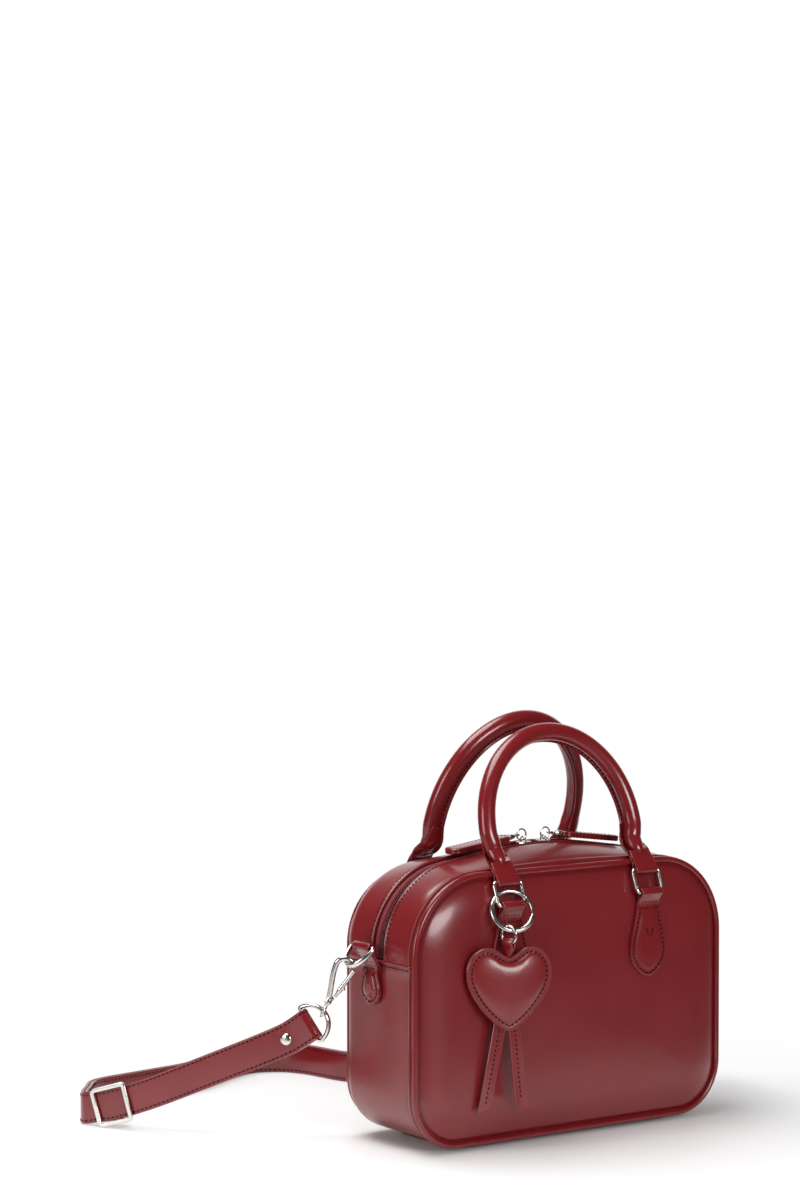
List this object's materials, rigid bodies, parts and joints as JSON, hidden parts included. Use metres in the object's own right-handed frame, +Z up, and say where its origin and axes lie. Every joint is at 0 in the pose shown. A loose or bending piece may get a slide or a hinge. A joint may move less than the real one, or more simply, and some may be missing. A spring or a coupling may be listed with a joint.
{
  "type": "top handle bag",
  "caption": "Boxy zipped handbag in smooth leather with piped edges, tube handles on metal rings, a clip-on shoulder strap and a heart charm on a gate ring.",
  "frame": {"origin": "middle of the base panel, on the floor that the bag stands on", "axes": "+X to the right along the bag, +Y to the back, +Z up; the front faces -Y"},
  "size_m": [0.4048, 0.3168, 0.2645],
  "materials": {
    "leather": "smooth, glossy, deep red",
    "nickel": "polished nickel",
    "zip_tape": "woven tape with nylon teeth",
    "lining": "plain cloth",
    "board": "stiff fibre board"
  },
  "bodies": {
    "bag": {"front_panel": "leather", "back_panel": "leather", "front_piping": "leather", "back_piping": "leather", "zip_gusset_front": "leather", "zip_gusset_back": "leather", "lower_gusset": "leather", "base_panel": "leather", "base_board": "board", "front_stiffener": "board", "back_stiffener": "board", "lining": "lining", "inner_pocket": "lining", "zip_tape_front": "zip_tape", "zip_tape_back": "zip_tape", "zip_teeth": "zip_tape", "chape_front_left": "leather", "chape_front_right": "leather", "chape_back_left": "leather", "chape_back_right": "leather", "side_tab_left": "leather", "side_ring_left": "nickel", "snap_hook_left": "nickel", "swivel_eye_left": "nickel", "strap_ring_left": "nickel", "side_tab_right": "leather", "side_ring_right": "nickel", "snap_hook_right": "nickel", "swivel_eye_right": "nickel", "strap_ring_right": "nickel", "shoulder_strap": "leather", "strap_slider": "nickel", "strap_rivet": "nickel"},
    "front_rings": {"handle_ring_front_left": "nickel", "handle_ring_front_right": "nickel"},
    "front_handle": {"handle_front": "leather"},
    "back_rings": {"handle_ring_back_left": "nickel", "handle_ring_back_right": "nickel"},
    "back_handle": {"handle_back": "leather"},
    "slider_left": {"zip_slider_left": "nickel"},
    "pull_left": {"pull_link_left": "nickel", "pull_clamp_left": "nickel", "pull_tab_left": "leather"},
    "trigger_left": {"hook_trigger_left": "nickel"},
    "slider_right": {"zip_slider_right": "nickel"},
    "pull_right": {"pull_link_right": "nickel", "pull_clamp_right": "nickel", "pull_tab_right": "leather"},
    "trigger_right": {"hook_trigger_right": "nickel"},
    "gate_ring": {"gate_ring": "nickel"},
    "ring_gate": {"ring_gate": "nickel"},
    "charm": {"jump_ring": "nickel", "charm_hanger": "leather", "charm_heart": "leather", "charm_tail_left": "leather", "charm_tail_right": "leather"}
  },
  "joints": [
    {"name": "front_rings_swing", "type": "hinge", "parent": "bag", "child": "front_rings", "pos_m": [0, -0.0508, 0.1506], "axis": [1, 0, 0], "range_deg": [0, 15]},
    {"name": "front_handle_swing", "type": "hinge", "parent": "front_rings", "child": "front_handle", "pos_m": [0, -0.04518, 0.16451], "axis": [1, 0, 0], "range_deg": [0, 110]},
    {"name": "back_rings_swing", "type": "hinge", "parent": "bag", "child": "back_rings", "pos_m": [0, 0.0508, 0.1506], "axis": [1, 0, 0], "range_deg": [-90, 0]},
    {"name": "back_handle_swing", "type": "hinge", "parent": "back_rings", "child": "back_handle", "pos_m": [0, 0.04871, 0.16545], "axis": [1, 0, 0], "range_deg": [-100, 0]},
    {"name": "zip_slider_left_run", "type": "hinge", "parent": "bag", "child": "slider_left", "pos_m": [0, 0, -0.138], "axis": [0, 1, 0], "range_deg": [-9.5, 0]},
    {"name": "zip_pull_left_lift", "type": "hinge", "parent": "slider_left", "child": "pull_left", "pos_m": [-0.00807, 0, 0.18485], "axis": [0, 1, 0], "range_deg": [0, 95]},
    {"name": "hook_trigger_left_press", "type": "hinge", "parent": "bag", "child": "trigger_left", "pos_m": [-0.14205, 0.016, 0.09342], "axis": [-0.6077, -0.775, -0.1736], "range_deg": [0, 24], "stiffness_Nm_per_rad": 0.02},
    {"name": "zip_slider_right_run", "type": "hinge", "parent": "bag", "child": "slider_right", "pos_m": [0, 0, -0.138], "axis": [0, 1, 0], "range_deg": [0, 9.5]},
    {"name": "zip_pull_right_lift", "type": "hinge", "parent": "slider_right", "child": "pull_right", "pos_m": [0.00807, 0, 0.18485], "axis": [0, 1, 0], "range_deg": [-95, 0]},
    {"name": "hook_trigger_right_press", "type": "hinge", "parent": "bag", "child": "trigger_right", "pos_m": [0.14205, 0.016, 0.09342], "axis": [-0.6077, 0.775, 0.1736], "range_deg": [0, 24], "stiffness_Nm_per_rad": 0.02},
    {"name": "gate_ring_swing", "type": "hinge", "parent": "bag", "child": "gate_ring", "pos_m": [0, -0.0508, 0.1506], "axis": [1, 0, 0], "range_deg": [-3.5, 0]},
    {"name": "ring_gate_press", "type": "hinge", "parent": "gate_ring", "child": "ring_gate", "pos_m": [-0.04588, -0.05906, 0.14329], "axis": [-0.2728, -0.8397, 0.4695], "range_deg": [0, 5], "stiffness_Nm_per_rad": 0.02},
    {"name": "charm_swing", "type": "hinge", "parent": "gate_ring", "child": "charm", "pos_m": [-0.06274, -0.05748, 0.13633], "axis": [0.9511, -0.309, 0], "range_deg": [-70, 0]}
  ]
}
